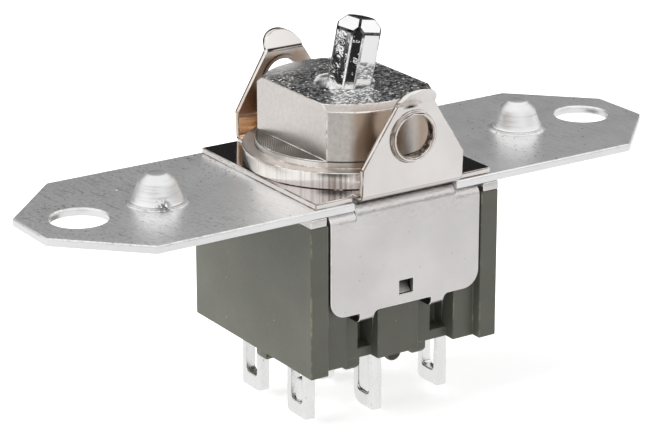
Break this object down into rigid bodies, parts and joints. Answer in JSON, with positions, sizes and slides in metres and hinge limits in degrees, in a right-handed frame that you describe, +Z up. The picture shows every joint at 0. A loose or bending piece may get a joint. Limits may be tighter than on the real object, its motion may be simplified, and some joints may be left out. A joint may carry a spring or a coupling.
{
  "type": "panel toggle switch",
  "caption": "Miniature rocking toggle switch with an eight-sided lever, a flat-sided bushing, an eared bracket for a rocker cap, a mounting strap and solder lugs.",
  "frame": {"origin": "centre of the mounting strap's top face, midway between its two mounting holes", "axes": "+X along the strap, the way the lever points at rest; +Y to the rear across the strap; +Z up out of the panel along the bushing"},
  "size_m": [0.0416, 0.0158, 0.0234],
  "materials": {
    "strap": "cool grey plated sheet, fine specks",
    "frame": "satin tinned sheet",
    "case": "olive green moulded resin",
    "bracket": "warm satin nickel plate",
    "bushing": "satin nickel plate over milled metal",
    "lever": "bright nickel plate",
    "actuator": "natural moulded insulator",
    "spring": "drawn wire",
    "contactor": "rolled copper alloy",
    "contact": "turned silver face",
    "terminal": "bright tinned blade"
  },
  "bodies": {
    "base": {"mounting_strap": "strap", "frame": "frame", "case": "case", "rocker_bracket": "bracket", "bushing": "bushing", "terminal_front_left": "terminal", "terminal_front_common": "terminal", "terminal_front_right": "terminal", "terminal_rear_left": "terminal", "terminal_rear_common": "terminal", "terminal_rear_right": "terminal", "fixed_contact_front_left": "contact", "fixed_contact_front_right": "contact", "fixed_contact_rear_left": "contact", "fixed_contact_rear_right": "contact"},
    "lever": {"lever": "lever", "pivot_pin": "lever", "actuator": "actuator", "plunger_spring_front": "spring", "plunger_spring_rear": "spring"},
    "plunger_front": {"plunger_front": "actuator"},
    "plunger_rear": {"plunger_rear": "actuator"},
    "contactor_front": {"contactor_front": "contactor", "moving_contact_front_left": "contact", "moving_contact_front_right": "contact"},
    "contactor_rear": {"contactor_rear": "contactor", "moving_contact_rear_left": "contact", "moving_contact_rear_right": "contact"}
  },
  "joints": [
    {"name": "lever_rock", "type": "hinge", "parent": "base", "child": "lever", "pos_m": [0, 0, 0.0033], "axis": [0, 1, 0], "range_deg": [-24, 0]},
    {"name": "plunger_front_slide", "type": "slide", "parent": "lever", "child": "plunger_front", "axis": [0.2079, 0, 0.9781], "range_m": [0, 0.0005], "stiffness_N_per_m": 400, "springref_m": -0.0005, "deforming": ["plunger_spring_front"]},
    {"name": "plunger_rear_slide", "type": "slide", "parent": "lever", "child": "plunger_rear", "axis": [0.2079, 0, 0.9781], "range_m": [0, 0.0005], "stiffness_N_per_m": 400, "springref_m": -0.0005, "deforming": ["plunger_spring_rear"]},
    {"name": "contactor_front_rock", "type": "hinge", "parent": "base", "child": "contactor_front", "pos_m": [0, -0.0025, -0.00687], "axis": [0, 1, 0], "range_deg": [0, 16]},
    {"name": "contactor_rear_rock", "type": "hinge", "parent": "base", "child": "contactor_rear", "pos_m": [0, 0.0025, -0.00687], "axis": [0, 1, 0], "range_deg": [0, 16]}
  ],
  "couplings": [
    {"joint": "contactor_front_rock", "follows": "lever_rock", "ratio": -0.66667},
    {"joint": "contactor_rear_rock", "follows": "lever_rock", "ratio": -0.66667}
  ]
}
